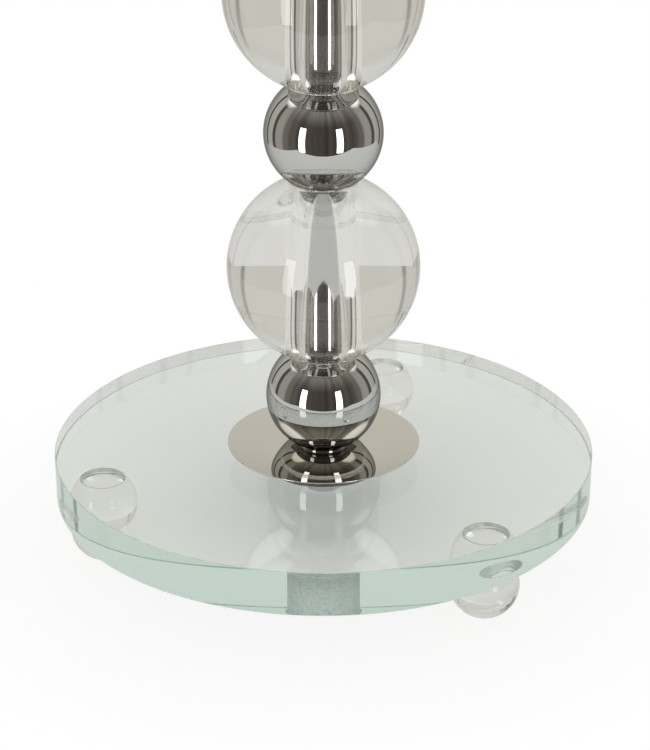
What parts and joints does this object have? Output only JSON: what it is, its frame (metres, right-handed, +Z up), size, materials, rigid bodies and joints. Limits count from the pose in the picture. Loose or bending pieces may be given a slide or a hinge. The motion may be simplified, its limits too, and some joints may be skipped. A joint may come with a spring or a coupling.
{
  "type": "candle lamp",
  "caption": "Candle lamp with a stem of chrome and clear glass balls on a round glass base with ball feet, a spring-fed candle tube and a lift-off conical fabric shade.",
  "frame": {"origin": "on the table, under the middle of the glass base", "axes": "+Z up along the stem, -Y towards the viewer of the picture"},
  "size_m": [0.24, 0.24, 0.5349],
  "materials": {
    "float_glass": "polished float glass, green at the edge",
    "ball_glass": "polished solid clear glass",
    "chrome": "mirror-bright plated chrome",
    "mirror_steel": "mirror-polished stainless sheet",
    "clear_glue": "clear cured glue",
    "clear_film": "clear plastic film",
    "black_rubber": "moulded black rubber",
    "zinc_steel": "bright zinc plating",
    "ivory_enamel": "ivory stove enamel on steel tube",
    "spring_steel": "drawn spring wire",
    "turned_brass": "turned brass",
    "wax": "candle wax",
    "cotton": "braided cotton",
    "white_wire": "white powder-coated steel wire",
    "shade_linen": "plain-woven linen on a stiff backing",
    "shade_binding": "folded linen tape"
  },
  "bodies": {
    "stand": {"glass_base": "float_glass", "foot_ball_1": "ball_glass", "foot_ball_2": "ball_glass", "foot_ball_3": "ball_glass", "glass_ball_1": "ball_glass", "glass_ball_2": "ball_glass", "foot_bond_1": "clear_glue", "foot_bond_2": "clear_glue", "foot_bond_3": "clear_glue", "plate_gasket": "clear_film", "seat_washer_1": "clear_film", "seat_washer_2": "clear_film", "seat_washer_3": "clear_film", "seat_washer_4": "clear_film", "mirror_plate": "mirror_steel", "under_gasket": "black_rubber", "under_washer": "zinc_steel", "lock_washer": "zinc_steel", "base_nut": "zinc_steel", "tie_rod": "zinc_steel", "candle_tube": "ivory_enamel", "feed_spring": "spring_steel", "ball_spacer": "chrome", "chrome_ball_1": "chrome", "chrome_ball_2": "chrome", "chrome_ball_3": "chrome", "bore_sleeve_1": "chrome", "bore_sleeve_2": "chrome", "drip_pan": "chrome", "tube_socket": "chrome", "bayonet_pins": "chrome", "carrier_stop": "chrome"},
    "candle": {"candle": "wax", "wick": "cotton", "spring_follower": "turned_brass"},
    "nozzle": {"nozzle_cap": "chrome"},
    "carrier": {"carrier_collar": "chrome", "carrier_arm_1": "chrome", "carrier_arm_2": "chrome", "carrier_arm_3": "chrome", "gallery_ring": "chrome"},
    "shade": {"fitter_ring": "white_wire", "fitter_spokes": "white_wire", "shade_ribs": "white_wire", "shade_top_ring": "white_wire", "shade_bottom_ring": "white_wire", "shade_cover": "shade_linen", "shade_top_trim": "shade_binding", "shade_bottom_trim": "shade_binding"}
  },
  "joints": [
    {"name": "candle_press", "type": "slide", "parent": "stand", "child": "candle", "axis": [0, 0, 1], "range_m": [-0.012, 0], "stiffness_N_per_m": 50, "springref_m": 0.08, "deforming": ["feed_spring"]},
    {"name": "nozzle_turn", "type": "hinge", "parent": "stand", "child": "nozzle", "pos_m": [0, 0, 0.4577], "axis": [0, 0, 1], "range_deg": [0, 30]},
    {"name": "carrier_turn", "type": "hinge", "parent": "stand", "child": "carrier", "pos_m": [0, 0, 0.4197], "axis": [0, 0, 1], "continuous": true},
    {"name": "shade_lift", "type": "slide", "parent": "carrier", "child": "shade", "axis": [0, 0, 1], "range_m": [0, 0.14]}
  ]
}
